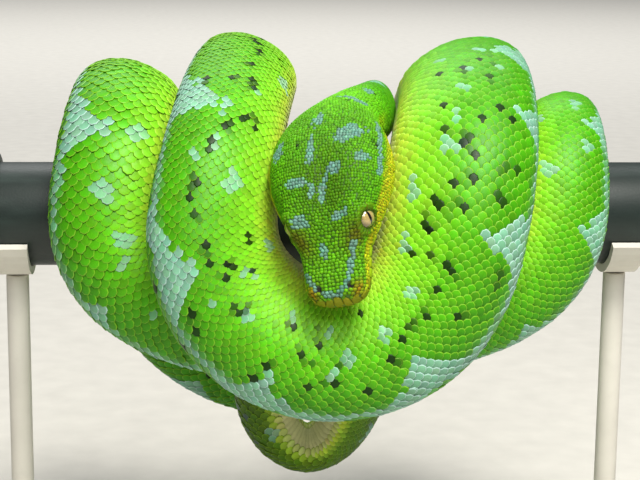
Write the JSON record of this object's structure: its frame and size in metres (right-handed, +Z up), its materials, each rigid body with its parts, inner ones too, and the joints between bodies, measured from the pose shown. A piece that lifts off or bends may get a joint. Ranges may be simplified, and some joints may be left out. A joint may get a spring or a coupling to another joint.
{
  "type": "coiled green tree python on a perch",
  "caption": "Life-size still model of a green tree python coiled over a cut length of grey pipe, held on a plain stand.",
  "frame": {"origin": "middle of the underside of the stand's base, on the floor, right under the middle of the perch", "axes": "+X along the perch to the right of someone who faces the snake's head, -Y towards them, +Z up"},
  "size_m": [0.24, 0.188, 0.1883],
  "materials": {
    "body_scales": "small overlapping satin scales",
    "head_scales": "fine grained satin scales",
    "eye": "wet gloss",
    "pipe": "satin",
    "stand_paint": "fine matt"
  },
  "bodies": {
    "root": {"head": "head_scales", "lower_jaw": "head_scales", "neck_01": "body_scales", "neck_02": "body_scales", "neck_03": "body_scales", "trunk_01": "body_scales", "trunk_02": "body_scales", "trunk_03": "body_scales", "trunk_04": "body_scales", "trunk_05": "body_scales", "trunk_06": "body_scales", "trunk_07": "body_scales", "tail_01": "body_scales", "tail_02": "body_scales", "tail_03": "body_scales", "eye_left": "eye", "eye_right": "eye", "perch": "pipe", "perch_sleeve": "pipe", "stand_base": "stand_paint", "stand_rod_left": "stand_paint", "stand_rod_right": "stand_paint", "stand_saddle_left": "stand_paint", "stand_saddle_right": "stand_paint"}
  },
  "joints": []
}
